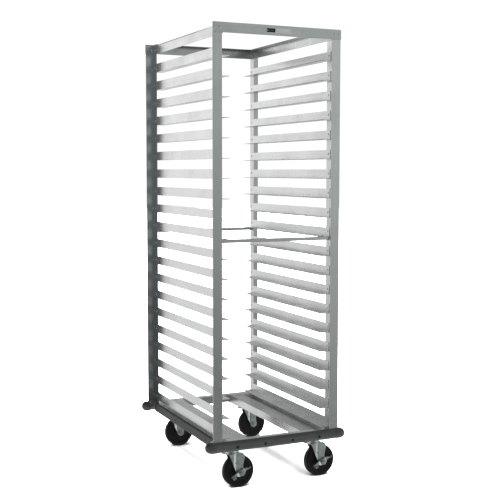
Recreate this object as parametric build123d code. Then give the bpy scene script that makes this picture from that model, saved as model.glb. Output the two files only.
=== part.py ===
from build123d import *
import os
from math import sin, cos, tan, acos, pi, radians, atan2

# End-loading sheet pan rack: four angle posts, twenty pairs of angle slides, an
# angle top frame, a channel base with a wrap-round bumper, and four swivel
# casters, the two front ones with rocker side brakes.
# Frame: +Z up, the open front at -Y, +X to the right when facing the front,
# origin on the floor under the middle of the rack. Millimetres.

# ---- driving dimensions -------------------------------------------------
HALF_W = 270.2          # centre line to the outer edge of a post's front flange
POST = 38.1             # both flanges of a post
T_POST = 3.2            # post and top rail wall
HALF_D = 376.8          # centre line to the outer face of a post's front flange
XI = HALF_W - POST      # inner face of a post's side flange (232.1)

TOP_Z = 1774.0          # top of the rack
RAIL_H = 38.1           # height of the top frame's rails
RAIL_IN = 38.1          # inward flange of the front and rear top rails
SIDE_RAIL_IN = 27.0     # inward flange of the side top rails

N_SLIDES = 20
PITCH = 76.2            # slide spacing
SLIDE_Z1 = 1654.3       # underside of the highest slide
SLIDE_H = 36.5          # web height
SLIDE_LEG = 36.5        # ledge width
T_SLIDE = 1.8
SLIDE_Y = 369.0         # half length of a slide

BASE_Z = 198.0          # top of the base
BASE_T = 3.2
BASE_FRONT_Y = HALF_D - T_POST      # outer face of the front and rear base rails
BASE_END_Y = 350.0                  # half length of the side channels
CH_OUT = 243.0          # outer face of a side channel
CH_IN = 116.0           # inner face of a side channel
LEG_OUT = 38.0          # outer leg of a side channel
LEG_IN = 31.75          # inner leg of a side channel

BUMP_Z0, BUMP_Z1 = 160.0, 198.0
BUMP_Y = 396.0          # front face of the bumper bar
BUMP_X = 300.0          # outermost point of the bumper corners
SIDE_STRIP = 7.5        # thickness of the side strips

KP_X, KP_Y = 179.5, 323.5           # swivel axes
TRAIL = 34.5                        # axle offset, all four casters turned alike
WHEEL_R, WHEEL_W = 63.5, 32.0
AXLE_R = 6.35
RUN = 0.05                          # running clearance on a radius
LEG_GAP = 24.6                      # wheel centre plane to the inner side of a fork leg's main face
WING_GAP = 18.1                     # the same to its set-back leading wing
JOG_X0, JOG_X1 = 9.5, 17.7          # the slanted face between wing and main face, from the swivel axis
LEG_T = 3.4
PAD_T = 5.0
PAD_TOP = BASE_Z - LEG_IN           # 166.25
PLATE_TOP = PAD_TOP - PAD_T         # 161.25
PLATE_T = 4.0
CROWN_TOP, CROWN_T = 142.0, 4.0
KINGPIN_R = 6.0
BRAKE_TILT = 26.0                   # resting angle of a brake lever above level

os.makedirs("parts", exist_ok=True)
WRITTEN = []


def bx(x0, x1, y0, y1, z0, z1):
    """Box from its limits."""
    lo = (min(x0, x1), min(y0, y1), min(z0, z1))
    hi = (max(x0, x1), max(y0, y1), max(z0, z1))
    return Pos(*[(a + b) / 2 for a, b in zip(lo, hi)]) * Box(hi[0] - lo[0], hi[1] - lo[1], hi[2] - lo[2])


def cyl(r, h, at, axis="Z"):
    """Cylinder of radius r and length h whose middle is at `at`."""
    rot = {"Z": (0, 0, 0), "Y": (90, 0, 0), "X": (0, 90, 0)}[axis]
    return Pos(*at) * Rot(*rot) * Cylinder(r, h)


def save(name, shape):
    if isinstance(shape, (list, tuple)):
        shape = Compound(children=[s for s in shape])
    shape.label = name
    export_step(shape, f"parts/{name}.step")
    WRITTEN.append(name)


def one(shape):
    """The single solid of a boolean result."""
    s = shape.solids()
    assert len(s) == 1, len(s)
    return s[0]


# ---- posts --------------------------------------------------------------
def post(sx, sy):
    front = bx(sx * XI, sx * HALF_W, sy * (HALF_D - T_POST), sy * HALF_D, BUMP_Z0 + 2, TOP_Z - T_POST)
    side = bx(sx * XI, sx * (XI + T_POST), sy * (HALF_D - POST), sy * HALF_D, BASE_Z, TOP_Z - T_POST)
    return one(front + side)


# ---- top frame ----------------------------------------------------------
def cross_rail(sy):
    """Front or rear top rail: face against the posts, flange inward over them."""
    x = HALF_W + 0.6
    leg = bx(-x, x, sy * HALF_D, sy * (HALF_D + T_POST), TOP_Z - RAIL_H, TOP_Z)
    f = XI + T_POST
    return one(leg + bx(-f, f, sy * (HALF_D + T_POST - RAIL_IN), sy * (HALF_D + T_POST), TOP_Z - T_POST, TOP_Z))


def side_rail(sx):
    """Side top rail, inside the posts' side flanges."""
    zt = TOP_Z - T_POST
    leg = bx(sx * XI, sx * (XI - T_POST), -HALF_D, HALF_D, zt - RAIL_H, zt)
    return one(leg + bx(sx * XI, sx * (XI - SIDE_RAIL_IN), -HALF_D, HALF_D, zt - T_POST, zt))


# ---- slides -------------------------------------------------------------
SLIDE_Z = [SLIDE_Z1 - PITCH * i for i in range(N_SLIDES)]


def slide(sx, z):
    web = bx(sx * XI, sx * (XI - T_SLIDE), -SLIDE_Y, SLIDE_Y, z, z + SLIDE_H)
    leg = bx(sx * XI, sx * (XI - SLIDE_LEG), -SLIDE_Y, SLIDE_Y, z, z + T_SLIDE)
    s = one(web + leg)
    # the ledge's inner corners are clipped
    c = 5.0
    for sy in (-1, 1):
        cut = Pos(sx * (XI - SLIDE_LEG), sy * SLIDE_Y, z + T_SLIDE / 2) * Rot(0, 0, 45) * Box(c * 1.4142, c * 1.4142, 6)
        s = one(s - cut)
    return s


# ---- cross braces under the tenth pair of slides -------------------------
BR_Z = SLIDE_Z[9]
BR_H, BR_D, BR_T = 12.7, 25.4, 2.0
BR_Y = 366.0
BR_X = XI - 0.5

# through bolts: round head above the slide's ledge, hex nut below the brace
bolts = []
for sx in (-1, 1):
    for sy in (-1, 1):
        x, y = sx * 209.0, sy * (BR_Y - 15.0)
        z0 = BR_Z - BR_T
        shank = cyl(2.4, T_SLIDE + BR_T + 8.4, (x, y, z0 - 6.0 + (T_SLIDE + BR_T + 8.4) / 2))
        head = cyl(4.6, 2.4, (x, y, BR_Z + T_SLIDE + 1.2))
        nut = Pos(x, y, z0 - 4.0) * extrude(RegularPolygon(4.8, 6), 4.0)
        bolts.append(one(shank + head + nut))

# angle section, bored for the bolts
for fr, sy in (("front", -1), ("rear", 1)):
    top = bx(-BR_X, BR_X, sy * BR_Y, sy * (BR_Y - BR_D), BR_Z - BR_T, BR_Z)
    web = bx(-BR_X, BR_X, sy * BR_Y, sy * (BR_Y - BR_T), BR_Z - BR_H, BR_Z)
    s = top + web
    for sx in (-1, 1):
        s = s - cyl(2.4, 10, (sx * 209.0, sy * (BR_Y - 15.0), BR_Z - 1))
    save(f"brace_{fr}", one(s))
save("brace_bolts", bolts)


# ---- rivets --------------------------------------------------------------
def rivet(p, axis, grip, r=2.4, head=4.4, h=1.6):
    """Rivet through `grip` mm of metal. p is the middle of the grip, axis a unit
    vector along X or Y; a low dome on each side."""
    prof = [(0, -grip / 2 - h), (head * 0.55, -grip / 2 - h * 0.86), (head * 0.9, -grip / 2 - h * 0.42), (head, -grip / 2),
            (r, -grip / 2), (r, grip / 2), (head, grip / 2), (head * 0.9, grip / 2 + h * 0.42),
            (head * 0.55, grip / 2 + h * 0.86), (0, grip / 2 + h)]
    face = make_face(Polyline(*[(a, 0, b) for a, b in prof], close=True))
    s = revolve(face, Axis.Z)
    rot = Rot(90, 0, 0) if axis == "Y" else Rot(0, 90, 0)
    return Pos(*p) * rot * s


RIVET_Y = HALF_D - 20.0
rivets, rivet_pos = [], []
for sx in (-1, 1):
    for sy in (-1, 1):
        for z in SLIDE_Z:
            zc = z + SLIDE_H * 0.56
            xm = sx * (XI + (T_POST - T_SLIDE) / 2)
            rivets.append(rivet((xm, sy * RIVET_Y, zc), "X", T_POST + T_SLIDE))
            rivet_pos.append(("slide", sx, sy, zc))
        # side top rail to post
        rivets.append(rivet((sx * XI, sy * RIVET_Y, TOP_Z - T_POST - 19), "X", 2 * T_POST))
        # front and rear top rail to post
        for xr in (242.5, 261.5):
            rivets.append(rivet((sx * xr, sy * HALF_D, TOP_Z - 19.2), "Y", 2 * T_POST))

# holes for the rivets
post_holes = {}
for sx, lr in ((-1, "left"), (1, "right")):
    for sy, fr in ((-1, "front"), (1, "rear")):
        s = post(sx, sy)
        tools = [cyl(2.4, 12, (sx * (XI + 1.6), sy * RIVET_Y, z + SLIDE_H * 0.56), "X") for z in SLIDE_Z]
        tools.append(cyl(2.4, 12, (sx * (XI + 1.6), sy * RIVET_Y, TOP_Z - T_POST - 19), "X"))
        tools += [cyl(2.4, 12, (sx * xr, sy * (HALF_D - 1.6), TOP_Z - 19.2), "Y") for xr in (242.5, 261.5)]
        s = one(s.cut(*tools)) if hasattr(s, "cut") else one(s - Compound(children=tools))
        save(f"post_{fr}_{lr}", s)
for sx, lr in ((-1, "left"), (1, "right")):
    for part, zs in (("upper", SLIDE_Z[:10]), ("lower", SLIDE_Z[10:])):
        out = []
        for z in zs:
            s = slide(sx, z)
            for sy in (-1, 1):
                s = s - cyl(2.4, 12, (sx * XI, sy * RIVET_Y, z + SLIDE_H * 0.56), "X")
                if z == SLIDE_Z[9]:
                    s = s - cyl(2.4, 10, (sx * 209.0, sy * (BR_Y - 15.0), z + 1))
            out.append(one(s))
        save(f"slides_{lr}_{part}", out)
for sy, fr in ((-1, "front"), (1, "rear")):
    s = cross_rail(sy)
    for sx in (-1, 1):
        for xr in (242.5, 261.5):
            s = s - cyl(2.4, 12, (sx * xr, sy * (HALF_D + 1.6), TOP_Z - 19.2), "Y")
        if sy < 0:      # holes for the name plate's pins
            s = s - cyl(1.2, 2.4, (sx * 47.5, -(HALF_D + T_POST), TOP_Z - 19.7), "Y")
    save(f"top_rail_{fr}", one(s))
for sx, lr in ((-1, "left"), (1, "right")):
    s = side_rail(sx)
    for sy in (-1, 1):
        s = s - cyl(2.4, 12, (sx * XI, sy * RIVET_Y, TOP_Z - T_POST - 19), "X")
    save(f"top_rail_{lr}", one(s))
save("frame_rivets", rivets)

# ---- name plate ----------------------------------------------------------
NP_W, NP_H, NP_T, NP_Z = 104.0, 19.0, 0.8, 1754.3
np_y = -(HALF_D + T_POST)
plate = Pos(0, np_y - NP_T / 2, NP_Z) * Rot(90, 0, 0) * extrude(RectangleRounded(NP_W, NP_H, 1.5), NP_T / 2, both=True)
for sx in (-1, 1):
    plate = plate - cyl(1.2, 4, (sx * 47.5, np_y, NP_Z), "Y")
save("nameplate", one(plate))
npr = []
for sx in (-1, 1):
    shank = cyl(1.2, 2.0, (sx * 47.5, np_y - NP_T + 1.0, NP_Z), "Y")
    head = cyl(2.2, 0.9, (sx * 47.5, np_y - NP_T - 0.45, NP_Z), "Y")
    npr.append(one(shank + head))
save("nameplate_rivets", npr)

# ---- base ----------------------------------------------------------------
SCREW_X = (-177.0, -59.0, 59.0, 177.0)
SCREW_Y = (-247.5, -82.5, 82.5, 247.5)
SCREW_Z = 178.0
for sy, fr in ((-1, "front"), (1, "rear")):
    leg = bx(-HALF_W, HALF_W, sy * BASE_FRONT_Y, sy * (BASE_FRONT_Y - BASE_T), BUMP_Z0, BASE_Z)
    top = bx(-HALF_W, HALF_W, sy * BASE_FRONT_Y, sy * BASE_END_Y, BASE_Z - BASE_T, BASE_Z)
    s = leg + top
    for x in SCREW_X:
        s = s - cyl(2.5, 12, (x, sy * (BASE_FRONT_Y - 1.6), SCREW_Z), "Y")
    save(f"base_rail_{fr}", one(s))
for sx, lr in ((-1, "left"), (1, "right")):
    top = bx(sx * CH_IN, sx * CH_OUT, -BASE_END_Y, BASE_END_Y, BASE_Z - BASE_T, BASE_Z)
    outer = bx(sx * CH_OUT, sx * (CH_OUT - BASE_T), -BASE_END_Y, BASE_END_Y, BASE_Z - LEG_OUT, BASE_Z)
    inner = bx(sx * CH_IN, sx * (CH_IN + BASE_T), -BASE_END_Y, BASE_END_Y, BASE_Z - LEG_IN, BASE_Z)
    s = top + outer + inner
    for y in SCREW_Y:
        s = s - cyl(2.5, 12, (sx * (CH_OUT - 1.6), y, SCREW_Z), "X")
    save(f"base_rail_{lr}", one(s))

# ---- bumper --------------------------------------------------------------
EAR_X0, EAR_Y0, EAR_Y1, EAR_R = 238.0, 400.0, 346.0, 25.5


def ear(sx, sy):
    w, d = BUMP_X - EAR_X0, EAR_Y0 - EAR_Y1
    sk = Pos((BUMP_X + EAR_X0) / 2 * sx, (EAR_Y0 + EAR_Y1) / 2 * sy, BUMP_Z0) * RectangleRounded(w, d, EAR_R)
    s = extrude(sk, BUMP_Z1 - BUMP_Z0)
    ring = [e for e in s.edges() if abs(e.center().Z - BUMP_Z0) < 0.1 or abs(e.center().Z - BUMP_Z1) < 0.1]
    return fillet(ring, 17.0)


def bar_bumper(sy):
    """Front or rear bumper bar with its two rounded corners."""
    bar = bx(-272, 272, sy * BUMP_Y, sy * 366.0, BUMP_Z0, BUMP_Z1)
    front_edges = [e for e in bar.edges()
                   if abs(e.center().Y - sy * BUMP_Y) < 0.1 and abs(e.center().X) < 1]
    bar = fillet(front_edges, 15.0)
    s = bar + ear(-1, sy) + ear(1, sy)
    # seats for the post flanges, the base rail and the channel ends
    s = s - bx(-HALF_W - 0.4, HALF_W + 0.4, sy * 300, sy * HALF_D, BUMP_Z0 - 5, BUMP_Z1 + 5)
    s = s - bx(-CH_OUT, CH_OUT, sy * 300, sy * (BASE_END_Y + 4), BUMP_Z0 - 5, BUMP_Z1 + 5)
    # the middle of the bar backs on to the base rail between the posts
    s = s + bx(-XI + 1.0, XI - 1.0, sy * (HALF_D + 1), sy * BASE_FRONT_Y, BUMP_Z0 + 2, BUMP_Z1 - 2)
    for x in SCREW_X:
        s = s - cyl(2.5, 60, (x, sy * (BUMP_Y - 10), SCREW_Z), "Y")
        s = s - cyl(5.5, 4.0, (x, sy * BUMP_Y, SCREW_Z), "Y")
    return one(s)


for sy, fr in ((-1, "front"), (1, "rear")):
    save(f"bumper_{fr}", bar_bumper(sy))
for sx, lr in ((-1, "left"), (1, "right")):
    y1 = EAR_Y1 - 0.2
    s = bx(sx * CH_OUT, sx * (CH_OUT + SIDE_STRIP), -y1, y1, BUMP_Z0, BUMP_Z1)
    edges = [e for e in s.edges() if abs(e.center().X - sx * (CH_OUT + SIDE_STRIP)) < 0.1 and abs(e.center().Y) < 1]
    s = fillet(edges, 5.0)
    for y in SCREW_Y:
        s = s - cyl(2.5, 30, (sx * (CH_OUT + 5), y, SCREW_Z), "X")
        s = s - cyl(5.2, 3.0, (sx * (CH_OUT + SIDE_STRIP), y, SCREW_Z), "X")
    save(f"bumper_{lr}", one(s))

screws = []
for sy in (-1, 1):
    for x in SCREW_X:
        y_head = BUMP_Y - 2.0
        shank = cyl(2.5, y_head - BASE_FRONT_Y + 6, (x, sy * (y_head + BASE_FRONT_Y - 6) / 2, SCREW_Z), "Y")
        head = cyl(5.0, 2.2, (x, sy * (y_head + 1.1), SCREW_Z), "Y")
        sock = Pos(x, sy * (y_head + 2.2), SCREW_Z) * Rot(90, 0, 0) * extrude(RegularPolygon(2.2, 6), 1.2, both=True)
        screws.append(one(shank + head - sock))
for sx in (-1, 1):
    for y in SCREW_Y:
        x_head = CH_OUT + SIDE_STRIP - 1.5
        shank = cyl(2.5, x_head - CH_OUT + 7, (sx * (x_head + CH_OUT - 7) / 2, y, SCREW_Z), "X")
        head = cyl(4.8, 1.8, (sx * (x_head + 0.9), y, SCREW_Z), "X")
        sock = Pos(sx * (x_head + 1.8), y, SCREW_Z) * Rot(0, 90, 0) * extrude(RegularPolygon(2.0, 6), 1.0, both=True)
        screws.append(one(shank + head - sock))
save("bumper_screws", screws)

# ---- casters -------------------------------------------------------------
PAD_X0, PAD_X1 = CH_IN + 1.0, CH_OUT - BASE_T   # across the channel
PAD_Y = 48.0                                     # half length along the rack
PLATE_HX, PLATE_HY = 47.0, 40.0                  # half size of a caster's top plate
BOLT_X, BOLT_Y = 37.0, 29.0                      # half spacing of the plate bolts
BALL_R, BALL_RING, N_BALLS = 4.0, 21.0, 12
CUP_R = 32.0
NUT_AF = 19.0
SHOE_PINS = (28.0, 40.0)                         # brake shoe guide pins, above the axle
SHOE_PLAY = 1.2                                  # shoe to tyre, brake off


def wheel(c):
    """Solid rubber wheel, axle along Y, centred at c."""
    h = WHEEL_W / 2
    prof = [(10.0, -19.0), (17.0, -19.0), (18.5, -17.5), (18.5, -13.2), (22.0, -12.6), (43.0, -12.6), (46.5, -h + 0.4), (48.0, -h), (55.5, -h)]
    a = [(55.5 + 8.0 * sin(t), -h + 8.0 - 8.0 * cos(t)) for t in [pi / 2 * k / 6 for k in range(1, 7)]]
    half = prof + a
    full = half + [(r, -y) for r, y in reversed(half)]
    face = make_face(Polyline(*[(r, y, 0) for r, y in full], close=True))
    s = revolve(face, Axis.Y)
    return Pos(*c) * s


def leg_outline():
    """Side outline of a fork leg, X from the swivel axis: straight leading edge, axle
    boss, slightly waisted trailing edge, big radius at the crown."""
    ax, az, R = TRAIL, WHEEL_R, 15.5
    tl = (-12.0, CROWN_TOP)
    dx, dz = tl[0] - ax, tl[1] - az
    al = atan2(dz, dx) + acos(R / (dx * dx + dz * dz) ** 0.5)
    ar = radians(14)
    boss = [(ax + R * cos(t), az + R * sin(t)) for t in [al + (2 * pi + ar - al) * k / 18 for k in range(19)]]
    waist = [(46.8, 77.0), (45.6, 88.0), (47.4, 100.0), (50.4, 112.0)]
    corner = [(33 + 20 * cos(radians(t)), CROWN_TOP - 20 + 20 * sin(radians(t))) for t in range(0, 91, 10)]
    face = make_face(Polyline(*[(x, 0, z) for x, z in [tl] + boss + waist + corner], close=True))
    return extrude(face, amount=60, dir=(0, 1, 0), both=True)


def leg_section(sy):
    """Plan section of a leg: set-back wing, slanted face, proud main face."""
    t = LEG_T * tan(atan2(LEG_GAP - WING_GAP, JOG_X1 - JOG_X0) / 2)
    pts = [(-20, WING_GAP), (JOG_X0, WING_GAP), (JOG_X1, LEG_GAP), (70, LEG_GAP),
           (70, LEG_GAP + LEG_T), (JOG_X1 - t, LEG_GAP + LEG_T), (JOG_X0 - t, WING_GAP + LEG_T), (-20, WING_GAP + LEG_T)]
    s = extrude(make_face(Polyline(*[(x, sy * y, 0) for x, y in pts], close=True)), amount=CROWN_TOP, dir=(0, 0, 1))
    # bend radii: tight inside, wider outside
    for x, y, r in ((JOG_X0, WING_GAP, 4.6), (JOG_X1, LEG_GAP, 1.4),
                    (JOG_X1 - t, LEG_GAP + LEG_T, 4.6), (JOG_X0 - t, WING_GAP + LEG_T, 1.4)):
        edge = [e for e in s.edges() if abs(e.center().X - x) < 0.01 and abs(e.center().Y - sy * y) < 0.01]
        s = fillet(edge, r)
    return s


def fork(kx, ky, brake):
    """Pressed fork: crown plate and two joggled legs, swivel axis at (kx, ky)."""
    t = LEG_T * tan(atan2(LEG_GAP - WING_GAP, JOG_X1 - JOG_X0) / 2)
    wo, mo = WING_GAP + LEG_T, LEG_GAP + LEG_T
    half = [(-12.0, wo), (JOG_X0 - t, wo), (JOG_X1 - t, mo), (33.0, mo)]
    ring = [(x, y, CROWN_TOP - CROWN_T) for x, y in half] + [(x, -y, CROWN_TOP - CROWN_T) for x, y in reversed(half)]
    s = extrude(make_face(Polyline(*ring, close=True)), amount=CROWN_T, dir=(0, 0, 1))
    s = s + cyl(CUP_R + 1, CROWN_T, (0, 0, CROWN_TOP - CROWN_T / 2))
    for sy in (-1, 1):
        s = s + (leg_section(sy) & leg_outline())
    s = one(s)
    # the legs turn into the crown with a bend radius
    es = [e for e in s.edges() if abs(e.center().Z - CROWN_TOP) < 0.05 and abs(e.center().Y) > mo - 0.05 and e.length > 5]
    s = fillet(es, 2.5)
    s = s - cyl(KINGPIN_R + RUN, 20, (0, 0, CROWN_TOP))
    s = s - cyl(AXLE_R, 100, (TRAIL, 0, WHEEL_R), "Y")
    s = s - cyl(2.2, 100, (JOG_X1 - 2.5, 0, 100.0), "Y")
    # race groove for the balls
    s = s - (Pos(0, 0, CROWN_TOP + BALL_R * 0.72) * Torus(BALL_RING, BALL_R + 0.06))
    if brake:
        for dz in SHOE_PINS:
            s = s - cyl(2.56, 10, (TRAIL, -(LEG_GAP + LEG_T / 2), WHEEL_R + dz), "Y")
    return Pos(kx, ky, 0) * one(s)


def lever(ax, ay, az):
    """Rocker lever: a strap with a hat-shaped middle over its hub and a foot tab
    turned outward at each end. ay is the side that faces the fork leg."""
    h, t, k = 6.0, 3.0, 1.17
    inner = [(-42, 0), (-17, 0), (-10.5, h), (10.5, h), (17, 0), (42, 0)]
    outer = [(42, t), (17 + k, t), (10.5 + k, h + t), (-10.5 - k, h + t), (-17 - k, t), (-42, t)]
    strap = extrude(make_face(Polyline(*[(x, -y, 0) for x, y in inner + outer], close=True)), amount=14, dir=(0, 0, 1), both=True)
    side = [(-42, -3.6), (-40.5, -5.0), (-24, -5.0), (-12, -10.2), (12, -10.2), (24, -5.0), (42, -5.0),
            (42, 3.6), (40.5, 5.0), (24, 5.0), (12, 10.2), (-12, 10.2), (-24, 5.0), (-42, 5.0)]
    s = strap & extrude(make_face(Polyline(*[(x, 0, z) for x, z in side], close=True)), amount=40, dir=(0, 1, 0), both=True)
    s = s + cyl(9.4, h + 1, (0, -(h + 1) / 2, 0), "Y")
    for a, z0, z1 in ((1, 2.0, 5.0), (-1, -5.0, -2.0)):
        tab = bx(a * 29, a * 42, -0.5, -18, z0, z1)
        tab = fillet([e for e in tab.edges() if abs(e.center().Y + 18) < 0.1 and abs(e.bounding_box().size.Z) > 2], 3.5)
        s = s + tab
    s = one(s) - cyl(AXLE_R + RUN, 60, (0, 0, 0), "Y")
    return Pos(ax, ay, az) * Rot(0, -BRAKE_TILT, 0) * one(s)


def shoe(ax, cy, az):
    """Brake shoe between the fork leg and the wheel, on two pins through the leg;
    its pad lies beside the tyre's shoulder. cy is the wheel's centre plane."""
    y0 = cy - LEG_GAP + 0.4
    s = bx(ax - 9, ax + 9, y0, y0 + 2.4, az + 21, az + 56) + bx(ax - 9, ax + 9, y0, cy - WHEEL_W / 2 - SHOE_PLAY, az + 47, az + 55)
    s = fillet([e for e in s.edges() if abs(e.center().Z - (az + 21)) < 0.1 and e.bounding_box().size.Y > 1], 4.0)
    for dz in SHOE_PINS:
        s = s + cyl(2.5, 4.6, (ax, y0 - 2.2, az + dz), "Y")
    return one(s)


def top_plate(kx, ky):
    z1 = PLATE_TOP
    p = extrude(Pos(kx, ky, z1 - PLATE_T) * RectangleRounded(2 * PLATE_HX, 2 * PLATE_HY, 8), PLATE_T)
    z_race = CROWN_TOP + BALL_R * 0.72
    boss = cyl(CUP_R - 2, z1 - PLATE_T - (z_race + 0.8), (kx, ky, (z1 - PLATE_T + z_race + 0.8) / 2))
    skirt = cyl(CUP_R, z1 - PLATE_T - (CROWN_TOP + 1.2), (kx, ky, (z1 - PLATE_T + CROWN_TOP + 1.2) / 2)) - \
        cyl(CUP_R - 2.5, 40, (kx, ky, CROWN_TOP + 1.2))
    s = p + boss + skirt
    s = s - cyl(KINGPIN_R, 60, (kx, ky, z1))
    s = s - (Pos(kx, ky, z_race) * Torus(BALL_RING, BALL_R + 0.06))
    for bxs in (-1, 1):
        for bys in (-1, 1):
            s = s - cyl(4.25, 20, (kx + bxs * BOLT_X, ky + bys * BOLT_Y, z1))
    return one(s)


kingpins, balls, cbolts = [], [], []
for sx, sy, tag in ((-1, -1, "fl"), (1, -1, "fr"), (-1, 1, "rl"), (1, 1, "rr")):
    kx, ky = sx * KP_X, sy * KP_Y
    brake = sy < 0
    # pad welded between the channel's legs
    x0, x1 = sorted((sx * PAD_X0, sx * PAD_X1))
    y0, y1 = ky - PAD_Y, ky + PAD_Y
    y0, y1 = max(y0, -BASE_FRONT_Y + BASE_T), min(y1, BASE_FRONT_Y - BASE_T)
    pad = bx(x0, x1, y0, y1, PLATE_TOP, PAD_TOP)
    pad = pad - cyl(KINGPIN_R + 4, 20, (kx, ky, PLATE_TOP))
    for a in (-1, 1):
        for b in (-1, 1):
            pad = pad - cyl(4.0, 20, (kx + a * BOLT_X, ky + b * BOLT_Y, PLATE_TOP))
            p = (kx + a * BOLT_X, ky + b * BOLT_Y)
            z0, z1 = PLATE_TOP - PLATE_T, PAD_TOP
            shank = cyl(4.0, z1 - z0 + 7, (*p, (z0 + z1 + 7) / 2))
            head = Pos(*p, z0 - 4.5) * extrude(RegularPolygon(7.0, 6), 4.5)
            nut = Pos(*p, z1) * extrude(RegularPolygon(7.0, 6), 6.0)
            cbolts.append(one(shank + head + nut))
    save(f"caster_pad_{tag}", one(pad))
    save(f"caster_{tag}_top_plate", top_plate(kx, ky))
    # kingpin: headed rivet, fixed in the top plate, running in the crown
    shank = cyl(KINGPIN_R, PLATE_TOP - (CROWN_TOP - CROWN_T - 0.3), (kx, ky, (PLATE_TOP + CROWN_TOP - CROWN_T - 0.3) / 2))
    head = cyl(10.5, 4.0, (kx, ky, CROWN_TOP - CROWN_T - 0.3 - 2.0))
    kingpins.append(one(shank + head))
    for k in range(N_BALLS):
        t = 2 * pi * k / N_BALLS
        balls.append(Pos(kx + BALL_RING * cos(t), ky + BALL_RING * sin(t), CROWN_TOP + BALL_R * 0.72) * Sphere(BALL_R))
    save(f"caster_{tag}_fork", fork(kx, ky, brake))
    ax, az = kx + TRAIL, WHEEL_R
    save(f"caster_{tag}_wheel", one(wheel((ax, ky, az))))
    bush = cyl(10.0, 2 * LEG_GAP - 0.4, (ax, ky, az), "Y") - cyl(AXLE_R + RUN, 60, (ax, ky, az), "Y")
    save(f"caster_{tag}_bushing", one(bush))
    # axle bolt with its nut: head at the back, nut at the front
    out = LEG_GAP + LEG_T
    stack = 9.6 if brake else 0.0
    bolt = cyl(AXLE_R, 2 * out + stack + 13, (ax, ky + (-stack - 13) / 2, az), "Y")
    bh = Pos(ax, ky + out, az) * Rot(-90, 0, 0) * extrude(RegularPolygon(NUT_AF / 2, 6, major_radius=False), 7.0)
    bolt = one(bolt + bh)
    nut = Pos(ax, ky - out - stack, az) * Rot(90, 0, 0) * extrude(RegularPolygon(NUT_AF / 2, 6, major_radius=False), 9.0)
    nut = one(nut - cyl(AXLE_R, 200, (ax, ky, az), "Y"))
    save(f"caster_{tag}_axle", [bolt, nut])
    if brake:
        save(f"brake_{tag}_lever", lever(ax, ky - out - 0.3, az))
        save(f"brake_{tag}_shoe", shoe(ax, ky, az))
save("kingpins", kingpins)
save("swivel_bearing_balls", balls)
save("caster_bolts", cbolts)

names = sorted(set(WRITTEN))
print(len(names), "nodes")
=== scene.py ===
import math
import bpy
import bmesh
import numpy as np
from mathutils import Matrix, Vector, noise


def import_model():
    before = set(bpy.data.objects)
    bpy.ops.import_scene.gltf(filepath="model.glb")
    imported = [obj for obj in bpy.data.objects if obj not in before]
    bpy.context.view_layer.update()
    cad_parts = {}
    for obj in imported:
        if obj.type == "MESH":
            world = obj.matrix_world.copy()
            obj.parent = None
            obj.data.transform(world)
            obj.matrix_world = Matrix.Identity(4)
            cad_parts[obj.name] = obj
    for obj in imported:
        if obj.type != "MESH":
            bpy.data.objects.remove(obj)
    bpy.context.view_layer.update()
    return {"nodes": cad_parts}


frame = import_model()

NODES = frame["nodes"]
scene = bpy.context.scene


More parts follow.
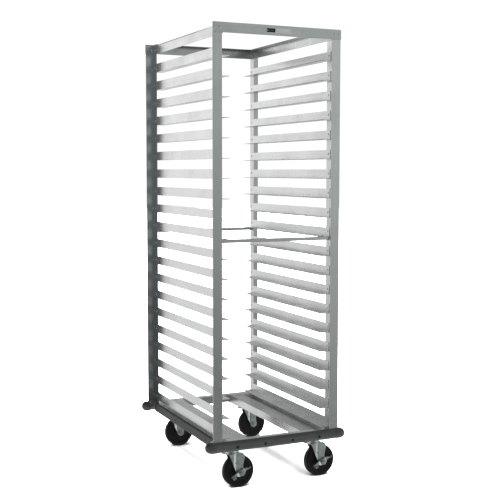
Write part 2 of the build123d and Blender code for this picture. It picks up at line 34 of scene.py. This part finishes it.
# ------------------------------------------------------------------ node helpers
class Mat:
    """A small wrapper that builds one procedural material."""

    def __init__(self, name):
        self.m = bpy.data.materials.new(name)
        self.m.use_nodes = True
        self.t = self.m.node_tree
        self.t.nodes.clear()
        self.out = self.n("ShaderNodeOutputMaterial")
        self.b = self.n("ShaderNodeBsdfPrincipled")
        self.l(self.b.outputs[0], self.out.inputs[0])
        self.co = self.n("ShaderNodeTexCoord").outputs["Object"]

    def n(self, kind, **props):
        node = self.t.nodes.new(kind)
        for k, v in props.items():
            setattr(node, k, v)
        return node

    def l(self, a, b):
        self.t.links.new(a, b)

    def mapping(self, scale=(1, 1, 1), loc=(0, 0, 0), rot=(0, 0, 0), src=None):
        m = self.n("ShaderNodeMapping")
        m.inputs["Scale"].default_value = scale
        m.inputs["Location"].default_value = loc
        m.inputs["Rotation"].default_value = rot
        self.l(src or self.co, m.inputs["Vector"])
        return m.outputs[0]

    def noise(self, vec, scale=1.0, detail=2.0, rough=0.5, dist=0.0):
        n = self.n("ShaderNodeTexNoise")
        n.inputs["Scale"].default_value = scale
        n.inputs["Detail"].default_value = detail
        n.inputs["Roughness"].default_value = rough
        n.inputs["Distortion"].default_value = dist
        self.l(vec, n.inputs["Vector"])
        return n.outputs["Fac"]

    def voronoi(self, vec, scale=1.0, feature="F1", out="Distance"):
        n = self.n("ShaderNodeTexVoronoi", feature=feature)
        n.inputs["Scale"].default_value = scale
        self.l(vec, n.inputs["Vector"])
        return n.outputs[out]

    def ramp(self, fac, stops, interp="LINEAR"):
        r = self.n("ShaderNodeValToRGB")
        cr = r.color_ramp
        cr.interpolation = interp
        while len(cr.elements) < len(stops):
            cr.elements.new(0.5)
        for e, (p, c) in zip(cr.elements, stops):
            e.position = p
            e.color = (c, c, c, 1) if isinstance(c, (int, float)) else (*c, 1)
        self.l(fac, r.inputs[0])
        return r.outputs[0]

    def range(self, fac, a, b, c, d, clamp=True):
        r = self.n("ShaderNodeMapRange")
        r.clamp = clamp
        for k, v in zip(("From Min", "From Max", "To Min", "To Max"), (a, b, c, d)):
            r.inputs[k].default_value = v
        self.l(fac, r.inputs["Value"])
        return r.outputs["Result"]

    def math(self, op, a, b=None, c=None, clamp=False):
        m = self.n("ShaderNodeMath", operation=op)
        m.use_clamp = clamp
        for i, v in enumerate((a, b, c)):
            if v is None:
                continue
            if isinstance(v, (int, float)):
                m.inputs[i].default_value = v
            else:
                self.l(v, m.inputs[i])
        return m.outputs[0]

    def mix(self, fac, a, b, blend="MIX"):
        m = self.n("ShaderNodeMix", data_type="RGBA", blend_type=blend)
        for sock, v in ((m.inputs["Factor"], fac), (m.inputs["A"], a), (m.inputs["B"], b)):
            if isinstance(v, (int, float)):
                sock.default_value = v if sock is m.inputs["Factor"] else (v, v, v, 1)
            elif isinstance(v, tuple):
                sock.default_value = (*v, 1) if len(v) == 3 else v
            else:
                self.l(v, sock)
        # colour sockets are the third pair on a Mix node
        return m.outputs["Result"]

    def bump(self, height, strength=0.2, dist=0.001, normal=None):
        b = self.n("ShaderNodeBump")
        b.inputs["Strength"].default_value = strength
        b.inputs["Distance"].default_value = dist
        self.l(height, b.inputs["Height"])
        if normal is not None:
            self.l(normal, b.inputs["Normal"])
        return b.outputs[0]

    def set(self, **kw):
        for k, v in kw.items():
            sock = self.b.inputs[k.replace("_", " ")]
            if isinstance(v, bpy.types.NodeSocket):
                self.l(v, sock)
            else:
                sock.default_value = (*v, 1) if isinstance(v, tuple) and len(v) == 3 else v
        return self

    def sep(self, vec=None):
        s = self.n("ShaderNodeSeparateXYZ")
        self.l(vec or self.co, s.inputs[0])
        return s.outputs


def mixc(m, fac, a, b, blend="MIX"):
    """Colour mix with explicit sockets."""
    node = m.n("ShaderNodeMix", data_type="RGBA", blend_type=blend)
    fa, ca, cb = node.inputs[0], node.inputs[6], node.inputs[7]
    for sock, v in ((fa, fac), (ca, a), (cb, b)):
        if isinstance(v, bpy.types.NodeSocket):
            m.l(v, sock)
        elif isinstance(v, (int, float)):
            sock.default_value = v if sock is fa else (v, v, v, 1)
        else:
            sock.default_value = (*v, 1)
    return node.outputs[2]


# ------------------------------------------------------------------ materials
def aluminium(name, axis, base=(0.60, 0.615, 0.61), rough=0.34, streak=1.0, scuff=1.0, seed=0.0, shade_mask=None):
    """Mill-finish extruded aluminium. axis is the drawing direction (0, 1 or 2). shade_mask takes
    the material and gives a 0..1 mask of painted shade, where the colour is darkened."""
    m = Mat(name)
    # softly rounded edges, and a mask of where they are
    rnd = m.n("ShaderNodeBevel")
    rnd.samples = 4
    rnd.inputs["Radius"].default_value = 0.0006
    geo = m.n("ShaderNodeNewGeometry")
    dot = m.n("ShaderNodeVectorMath")
    dot.operation = "DOT_PRODUCT"
    m.l(rnd.outputs[0], dot.inputs[0])
    m.l(geo.outputs["Normal"], dot.inputs[1])
    edge = m.range(dot.outputs["Value"], 0.80, 0.985, 1.0, 0.0)
    fine = [420.0, 420.0, 420.0]
    fine[axis] = 2.2
    mid = [90.0, 90.0, 90.0]
    mid[axis] = 0.7
    f = m.noise(m.mapping(tuple(fine), (seed, seed * 2, seed * 3)), 1.0, 3.0, 0.6)
    g = m.noise(m.mapping(tuple(mid), (seed + 3, seed, seed)), 1.0, 2.0, 0.5)
    blot = m.noise(m.mapping((7, 7, 7), (seed, 4, 9)), 1.0, 4.0, 0.55, 0.4)
    smear = m.noise(m.mapping((26, 26, 26), (9, seed, 2)), 1.0, 3.0, 0.6, 1.2)
    # fine random handling scratches in two directions
    s1 = m.noise(m.mapping((60, 60, 60), (0, 0, 0), (0.7, 0.5, 0.3)), 1.0, 5.0, 0.7, 2.5)
    line = m.math("SUBTRACT", 1.0, m.math("MULTIPLY", m.math("ABSOLUTE", m.math("SUBTRACT", s1, 0.5)), 60.0), clamp=True)
    tone = m.math("ADD", m.math("MULTIPLY", m.range(f, 0.3, 0.7, -1, 1), 0.022 * streak), m.math("MULTIPLY", m.range(g, 0.3, 0.7, -1, 1), 0.024 * streak))
    tone = m.math("ADD", tone, m.math("MULTIPLY", m.range(blot, 0.3, 0.7, -1, 1), 0.020))
    fac = m.math("ADD", tone, 0.5, clamp=True)
    dark = tuple(c * 0.80 for c in base)
    lite = tuple(min(1.0, c * 1.20) for c in base)
    col = mixc(m, fac, dark, lite)
    col = mixc(m, m.math("MULTIPLY", line, 0.10 * scuff), col, tuple(min(1, c * 1.25) for c in base))
    # edges lighter in patches: rubbed wear, and a painted highlight along the edges
    edge_wear_and_highlight = m.math("MULTIPLY", edge, m.range(smear, 0.35, 0.6, 0.15, 0.6))
    col = mixc(m, edge_wear_and_highlight, col, tuple(min(1, c * 1.25) for c in base))
    # painted shade: the colour darkens towards 0.30 of base where shade_mask is high
    if shade_mask is not None:
        col = mixc(m, shade_mask(m), col, tuple(c * 0.30 for c in base))
    r = m.math("ADD", m.range(blot, 0.3, 0.7, rough - 0.05, rough + 0.06), m.math("MULTIPLY", m.range(f, 0.3, 0.7, -1, 1), 0.05 * streak))
    r = m.math("ADD", r, m.math("MULTIPLY", m.range(smear, 0.45, 0.75, 0, 1), 0.05 * scuff))
    h = m.math("ADD", m.math("MULTIPLY", f, 0.7), m.math("MULTIPLY", g, 0.5))
    r = m.math("ADD", r, m.math("MULTIPLY", edge, 0.06))
    bump = m.bump(h, 0.10, 0.0006, rnd.outputs[0])
    m.set(Base_Color=col, Metallic=1.0, Roughness=r, Normal=bump)
    # drawn metal: highlights spread across the drawing direction
    t = m.n("ShaderNodeCombineXYZ")
    t.inputs[axis].default_value = 1.0
    m.l(t.outputs[0], m.b.inputs["Tangent"])
    m.b.inputs["Anisotropic"].default_value = 0.35
    m.b.inputs["Anisotropic Rotation"].default_value = 0.25
    return m.m


def zinc(name, base=(0.70, 0.77, 0.74), rough=0.30, seed=0.0):
    """Bright zinc plating on pressed steel: faint spangle, smeary roughness, painted shade in recesses."""
    m = Mat(name)
    cells = m.voronoi(m.mapping((240, 240, 240), (seed, 1, 2)), 1.0)
    blot = m.noise(m.mapping((45, 45, 45), (seed, 0, 0)), 1.0, 4.0, 0.6, 0.6)
    fine = m.noise(m.mapping((700, 700, 700)), 1.0, 2.0)
    ao = m.n("ShaderNodeAmbientOcclusion")
    ao.inputs["Distance"].default_value = 0.006
    fac = m.math("ADD", m.math("MULTIPLY", cells, 0.25), m.math("MULTIPLY", blot, 0.75), clamp=True)
    col = mixc(m, fac, tuple(c * 0.78 for c in base), tuple(min(1, c * 1.2) for c in base))
    # painted shade: darkened where occlusion finds a recess, in patches, with rougher metal there
    recess_shade = m.range(ao.outputs["AO"], 0.25, 0.95, 1.0, 0.0)
    recess_shade = m.math("MULTIPLY", recess_shade, m.range(blot, 0.35, 0.65, 0.3, 1.0))
    col = mixc(m, m.math("MULTIPLY", recess_shade, 0.6), col, (0.10, 0.11, 0.105))
    r = m.math("ADD", m.range(blot, 0.3, 0.7, rough - 0.07, rough + 0.1), m.math("MULTIPLY", recess_shade, 0.2))
    bump = m.bump(m.math("ADD", m.math("MULTIPLY", cells, 0.4), m.math("MULTIPLY", fine, 0.3)), 0.10, 0.0004)
    m.set(Base_Color=col, Metallic=1.0, Roughness=r, Normal=bump)
    return m.m


def steel(name, base=(0.72, 0.73, 0.74), rough=0.18):
    m = Mat(name)
    f = m.noise(m.mapping((300, 300, 300)), 1.0, 3.0)
    m.set(Base_Color=mixc(m, f, tuple(c * 0.85 for c in base), base), Metallic=1.0,
          Roughness=m.range(f, 0.3, 0.7, rough - 0.04, rough + 0.08), Normal=m.bump(f, 0.05, 0.0002))
    return m.m


def rubber(name, base, rough=0.6, grain=900.0, wear=0.5, seed=0.0, bump=0.25, streak_axis=None):
    """Moulded rubber or vinyl: pebbled grain, dusty high spots, scuffs."""
    m = Mat(name)
    g = m.noise(m.mapping((grain, grain, grain)), 1.0, 2.0, 0.6)
    sc = [18.0, 18.0, 60.0]
    if streak_axis is not None:
        sc = [60.0, 60.0, 60.0]
        sc[streak_axis] = 4.0
    dust = m.noise(m.mapping(tuple(sc), (seed, 5, 1)), 1.0, 5.0, 0.65, 0.8)
    blot = m.noise(m.mapping((9, 9, 9), (seed, 1, 7)), 1.0, 3.0)
    fac = m.range(dust, 0.45, 0.8, 0.0, wear)
    dusty = tuple(min(1, c * 2.2 + 0.02) for c in base)
    col = mixc(m, m.range(blot, 0.3, 0.7, 0.0, 1.0), tuple(c * 0.82 for c in base), tuple(c * 1.15 for c in base))
    col = mixc(m, fac, col, dusty)
    r = m.math("ADD", m.range(blot, 0.3, 0.7, rough - 0.06, rough + 0.08), m.math("MULTIPLY", fac, 0.15))
    m.set(Base_Color=col, Roughness=r, Normal=m.bump(g, bump, 0.0004))
    m.b.inputs["Specular IOR Level"].default_value = 0.4
    return m.m


def plastic(name, base, rough=0.4):
    m = Mat(name)
    g = m.noise(m.mapping((500, 500, 500)), 1.0, 2.0)
    b = m.noise(m.mapping((30, 30, 30)), 1.0, 2.0)
    m.set(Base_Color=mixc(m, b, tuple(c * 0.9 for c in base), base), Roughness=m.range(g, 0.3, 0.7, rough - 0.05, rough + 0.08), Normal=m.bump(g, 0.08, 0.0003))
    return m.m


A = (0.755, 0.765, 0.765)


def ledge_edge_shade(m):
    """Painted shade on the slides' inner ledge edges, where |x| is under 0.1959 m."""
    x = m.math("ABSOLUTE", m.sep()[0])
    return m.math("MULTIPLY", m.math("LESS_THAN", x, 0.1959), 0.9)


def rail_underside_shade(m):
    """Painted shade under the side rails' flange, heavier towards the rear."""
    s = m.sep()
    return m.math("MULTIPLY", m.math("GREATER_THAN", s[2], 1.7668), m.range(s[1], -0.30, -0.10, 0.0, 0.90))


def post_foot_shade(m):
    """Painted shade, heavier towards the foot of a post."""
    return m.range(m.sep()[2], 0.25, 1.0, 0.42, 0.0)


def deck_top_shade(m):
    """Painted shade on the flat top of the right channel."""
    s = m.sep()
    return m.math("MULTIPLY", m.math("GREATER_THAN", s[2], 0.1976), 0.58)


def cross_underside_shade(m):
    """Painted shade under the rear rail's flange."""
    s = m.sep()
    return m.math("MULTIPLY", m.math("GREATER_THAN", s[2], 1.7700), m.range(s[1], 0.0, 0.1, 0.0, 0.72))


# Base tones differ part by part, set to how bright each part shows under this studio light: painted light and
# shade. The side rails, upper slides, front-right post and right base rail are lighter copies; the lower slides and
# rear-left post are darker ones. The masks passed in are painted shade too.
ALU_Z = aluminium("aluminium_post", 2, (0.74, 0.765, 0.755), 0.27)
ALU_X = aluminium("aluminium_rail_x", 0, (0.74, 0.765, 0.755), 0.27, seed=4.0, shade_mask=cross_underside_shade)
ALU_Y = aluminium("aluminium_rail_y", 1, (0.83, 0.84, 0.84), 0.26, seed=7.0, shade_mask=rail_underside_shade)
ALU_SLIDE = aluminium("aluminium_slide", 1, (0.875, 0.885, 0.885), 0.27, seed=2.0, shade_mask=ledge_edge_shade)
ALU_SLIDE_LOW_SHADED = aluminium("aluminium_slide_low_shaded", 1, (0.81, 0.82, 0.82), 0.27, seed=5.0, shade_mask=ledge_edge_shade)
ALU_POST_REAR_SHADED = aluminium("aluminium_post_rear_shaded", 2, (0.690, 0.735, 0.755), 0.27, seed=6.0, shade_mask=post_foot_shade)
ALU_POST_RIGHT_LIT = aluminium("aluminium_post_right_lit", 2, (0.795, 0.810, 0.815), 0.27, seed=8.0)
ALU_BASE_RIGHT = aluminium("aluminium_base_right", 1, (0.86, 0.87, 0.87), 0.26, seed=12.0, shade_mask=deck_top_shade)
ALU_BASE = aluminium("aluminium_base", 1, A, 0.26, seed=11.0)
ALU_BRACE = aluminium("aluminium_brace", 0, A, 0.28, seed=13.0)
RIVET = steel("rivet_aluminium", (0.92, 0.93, 0.93), 0.42)
ZINC = zinc("zinc_plate")
BALL = steel("ball_steel", (0.75, 0.76, 0.78), 0.08)
# the side bumpers' darker base tone is painted shade; the same vinyl as the front
BUMPER = rubber("bumper_vinyl", (0.205, 0.209, 0.212), 0.50, 700.0, 0.35, streak_axis=0)
BUMPER_SIDE_SHADED = rubber("bumper_vinyl_side_shaded", (0.170, 0.174, 0.177), 0.50, 700.0, 0.35, streak_axis=1)
SCREW = plastic("screw_black_oxide", (0.012, 0.012, 0.013), 0.38)
WHEEL = rubber("wheel_rubber", (0.012, 0.011, 0.012), 0.55, 1100.0, 0.30, bump=0.3)
BUSH = plastic("bushing_nylon", (0.62, 0.60, 0.55), 0.45)


def plate_material():
    """Name plate: satin silver with a dark field on its left and a thin printed border. No mark."""
    m = Mat("nameplate_print")
    s = m.sep()
    x, z = s[0], s[2]
    inside = lambda v, a, b: m.math("MULTIPLY", m.math("GREATER_THAN", v, a), m.math("LESS_THAN", v, b))
    dark = m.math("MULTIPLY", inside(x, -0.0505, -0.0145), inside(z, 1.7470, 1.7620))
    f = m.noise(m.mapping((6, 400, 400)), 1.0, 2.0)
    silver = mixc(m, f, (0.94, 0.95, 0.95), (1.0, 1.0, 1.0))
    col = mixc(m, dark, silver, (0.012, 0.012, 0.013))
    # plain pale bar in the dark field and a hairline rule on the silver: generic decoration
    bar = m.math("MULTIPLY", inside(x, -0.0445, -0.0205), inside(z, 1.7530, 1.7555))
    col = mixc(m, m.math("MULTIPLY", bar, 0.55), col, (0.30, 0.30, 0.30))
    rule = m.math("MULTIPLY", inside(x, -0.0100, 0.0430), inside(z, 1.7490, 1.7497))
    col = mixc(m, m.math("MULTIPLY", rule, 0.7), col, (0.15, 0.15, 0.15))
    met = m.math("SUBTRACT", 1.0, dark)
    m.set(Base_Color=col, Metallic=met, Roughness=m.range(f, 0.3, 0.7, 0.25, 0.4), Normal=m.bump(f, 0.05, 0.0002))
    return m.m


PLATE = plate_material()


def paint(node, mat):
    o = NODES[node]
    o.data.materials.clear()
    o.data.materials.append(mat)


for n in NODES:
    if n == "post_rear_left":
        paint(n, ALU_POST_REAR_SHADED)
    elif n == "post_front_right":
        paint(n, ALU_POST_RIGHT_LIT)
    elif n.startswith("post_"):
        paint(n, ALU_Z)
    elif n in ("top_rail_front", "top_rail_rear"):
        paint(n, ALU_X)
    elif n in ("top_rail_left", "top_rail_right"):
        paint(n, ALU_Y)
    elif n in ("slides_left_lower", "slides_right_lower"):
        paint(n, ALU_SLIDE_LOW_SHADED)
    elif n.startswith("slides_"):
        paint(n, ALU_SLIDE)
    elif n == "base_rail_right":
        paint(n, ALU_BASE_RIGHT)
    elif n.startswith("base_rail"):
        paint(n, ALU_BASE)
    elif n.startswith("caster_pad"):
        paint(n, ALU_BASE)
    elif n in ("brace_front", "brace_rear"):
        paint(n, ALU_BRACE)
    elif n in ("frame_rivets", "nameplate_rivets"):
        paint(n, RIVET)
    elif n == "nameplate":
        paint(n, PLATE)
    elif n == "bumper_screws":
        paint(n, SCREW)
    elif n in ("bumper_left", "bumper_right"):
        paint(n, BUMPER_SIDE_SHADED)
    elif n.startswith("bumper_"):
        paint(n, BUMPER)
    elif n.endswith("_wheel"):
        paint(n, WHEEL)
    elif n.endswith("_bushing"):
        paint(n, BUSH)
    elif n == "swivel_bearing_balls":
        paint(n, BALL)
    else:
        paint(n, ZINC)


# ------------------------------------------------------------------ camera
def camera():
    cam = bpy.data.cameras.new("camera")
    cam.sensor_width = 36.0
    cam.sensor_fit = "HORIZONTAL"
    cam.lens = 990.47 * 36.0 / 500.0
    cam.shift_x = (250.0 - 249.04) / 500.0
    cam.shift_y = -(250.0 - 249.19) / 500.0
    cam.clip_end = 200
    o = bpy.data.objects.new("camera", cam)
    scene.collection.objects.link(o)
    yaw, pitch, roll = 0.4332, -0.0787, 0.0009
    F = Vector((math.sin(yaw) * math.cos(pitch), math.cos(yaw) * math.cos(pitch), math.sin(pitch)))
    R = Vector((math.cos(yaw), -math.sin(yaw), 0.0))
    U = R.cross(F)
    R2 = R * math.cos(roll) + U * math.sin(roll)
    U2 = -R * math.sin(roll) + U * math.cos(roll)
    m = Matrix(((R2.x, U2.x, -F.x, -1.6933), (R2.y, U2.y, -F.y, -3.7747), (R2.z, U2.z, -F.z, 1.2266), (0, 0, 0, 1)))
    o.matrix_world = m
    scene.camera = o


camera()


# ------------------------------------------------------------------ stage and light
scene.view_settings.view_transform = "Standard"
scene.view_settings.look = "None"


def simple_emission(name, color, strength):
    m = bpy.data.materials.new(name)
    m.use_nodes = True
    t = m.node_tree
    t.nodes.clear()
    out = t.nodes.new("ShaderNodeOutputMaterial")
    e = t.nodes.new("ShaderNodeEmission")
    e.inputs[0].default_value = (*color, 1)
    e.inputs[1].default_value = strength
    t.links.new(e.outputs[0], out.inputs[0])
    return m


def stage():
    # floor
    me = bpy.data.meshes.new("floor")
    s = 30.0
    me.from_pydata([(-s, -s, 0), (s, -s, 0), (s, s, 0), (-s, s, 0)], [], [(0, 1, 2, 3)])
    floor = bpy.data.objects.new("floor", me)
    scene.collection.objects.link(floor)
    fm = Mat("floor_pale")
    n = fm.noise(fm.mapping((3, 3, 3)), 1.0, 3.0)
    fm.set(Base_Color=mixc(fm, n, (0.90, 0.90, 0.90), (0.93, 0.93, 0.93)), Roughness=0.85)
    me.materials.append(fm.m)
    floor.visible_glossy = False
    floor.visible_diffuse = False
    # backdrop dome, seen by the camera only
    bm = bmesh.new()
    bmesh.ops.create_uvsphere(bm, u_segments=64, v_segments=32, radius=29.0)
    me = bpy.data.meshes.new("backdrop")
    bm.to_mesh(me)
    bm.free()
    dome = bpy.data.objects.new("backdrop", me)
    scene.collection.objects.link(dome)
    me.materials.append(simple_emission("backdrop_white", (1, 1, 1), 1.05))
    dome.visible_glossy = False
    dome.visible_diffuse = False
    dome.visible_transmission = False
    dome.visible_volume_scatter = False
    dome.visible_shadow = False
    return floor


floor = stage()


def world():
    """The studio around the rack, as brightness over direction: white walls behind and
    to the front left, a dim front and right side, dark overhead and underfoot."""
    w = bpy.data.worlds.new("studio")
    scene.world = w
    w.use_nodes = True
    t = w.node_tree
    t.nodes.clear()
    out = t.nodes.new("ShaderNodeOutputWorld")
    bg = t.nodes.new("ShaderNodeBackground")
    tc = t.nodes.new("ShaderNodeTexCoord")
    sep = t.nodes.new("ShaderNodeSeparateXYZ")
    t.links.new(tc.outputs["Generated"], sep.inputs[0])
    x, y, z = sep.outputs

    def put(v, sock):
        if isinstance(v, (int, float)):
            sock.default_value = v
        else:
            t.links.new(v, sock)

    def mth(op, a, b=None, c=None):
        m = t.nodes.new("ShaderNodeMath")
        m.operation = op
        for k, v in enumerate((a, b, c)):
            if v is not None:
                put(v, m.inputs[k])
        return m.outputs[0]

    def line(v, a, b):
        """0 at a, 1 at b, straight between."""
        m = t.nodes.new("ShaderNodeMapRange")
        m.inputs["From Min"].default_value = min(a, b)
        m.inputs["From Max"].default_value = max(a, b)
        m.inputs["To Min"].default_value = 0.0 if a < b else 1.0
        m.inputs["To Max"].default_value = 1.0 if a < b else 0.0
        put(v, m.inputs["Value"])
        return m.outputs["Result"]

    def ring(az, vals):
        """Brightness around one height, one value every 30 degrees from +Y towards +X."""
        r = t.nodes.new("ShaderNodeValToRGB")
        vals = vals + vals[:1]
        while len(r.color_ramp.elements) < len(vals):
            r.color_ramp.elements.new(0.5)
        for k, (e, c) in enumerate(zip(r.color_ramp.elements, vals)):
            e.position = k / 12
            e.color = (c / 4, c / 4, c / 4, 1)
        t.links.new(az, r.inputs[0])
        return r.outputs[0]

    az = mth("FRACT", mth("ADD", mth("DIVIDE", mth("ARCTAN2", x, y), 2 * math.pi), 1.0))
    el = mth("MULTIPLY", mth("ARCSINE", z), 180 / math.pi)
    v = ring(az, STUDIO[0][1])
    for (e0, _), (e1, vals) in zip(STUDIO, STUDIO[1:]):
        f = line(el, e0, e1)
        v = mth("ADD", mth("MULTIPLY", v, mth("SUBTRACT", 1.0, f)), mth("MULTIPLY", ring(az, vals), f))
    # the front is a shade greener than the walls
    tint = t.nodes.new("ShaderNodeMix")
    tint.data_type = "RGBA"
    t.links.new(mth("MULTIPLY", line(x, -0.22, 0.10), line(y, 0.30, -0.15)), tint.inputs[0])
    tint.inputs[6].default_value = (1, 1, 1, 1)
    tint.inputs[7].default_value = FRONT_TINT
    t.links.new(tint.outputs[2], bg.inputs["Color"])
    t.links.new(mth("MULTIPLY", v, 4.0), bg.inputs["Strength"])
    t.links.new(bg.outputs[0], out.inputs[0])


# height of the ring in degrees, brightness at 0, 30 ... 330 degrees
STUDIO = [
    (-50, [0.10, 0.15, 0.30, 0.55, 0.75, 0.90, 1.00, 0.95, 0.85, 0.60, 0.30, 0.12]),
    (-18, [0.75, 0.55, 0.51, 0.51, 0.50, 0.15, 0.02, 0.08, 1.40, 0.80, 0.54, 0.75]),
    (-5, [1.07, 0.62, 0.60, 0.67, 0.84, 0.44, 0.00, 0.19, 0.09, 0.21, 0.40, 0.74]),
    (7, [1.13, 0.69, 0.57, 0.64, 0.80, 0.60, 0.16, 0.27, 0.16, 0.21, 0.45, 0.99]),
    (22, [0.00, 0.18, 0.29, 0.41, 0.52, 0.32, 0.16, 0.15, 0.06, 0.00, 0.00, 0.00]),
    (55, [0.00, 0.04, 0.09, 0.13, 0.18, 0.22, 0.26, 0.17, 0.09, 0.00, 0.00, 0.00]),
]
FRONT_TINT = (0.95, 1.0, 0.975, 1.0)
world()


def area(name, loc, target, size, power, color=(1, 1, 1)):
    l = bpy.data.lights.new(name, "AREA")
    l.shape = "RECTANGLE"
    l.size, l.size_y = size
    l.energy = power
    l.color = color
    o = bpy.data.objects.new(name, l)
    scene.collection.objects.link(o)
    o.location = loc
    d = Vector(target) - Vector(loc)
    o.rotation_euler = d.to_track_quat("-Z", "Y").to_euler()
    return o


# light that reaches the floor only, so that the floor stays pale
sun = bpy.data.lights.new("floor_light", "SUN")
sun.energy = 18.0
sun.angle = math.radians(70)
so = bpy.data.objects.new("floor_light", sun)
scene.collection.objects.link(so)
so.rotation_euler = (math.radians(8), math.radians(-10), 0)
rc = bpy.data.collections.new("floor_only")
rc.objects.link(floor)
so.light_linking.receiver_collection = rc
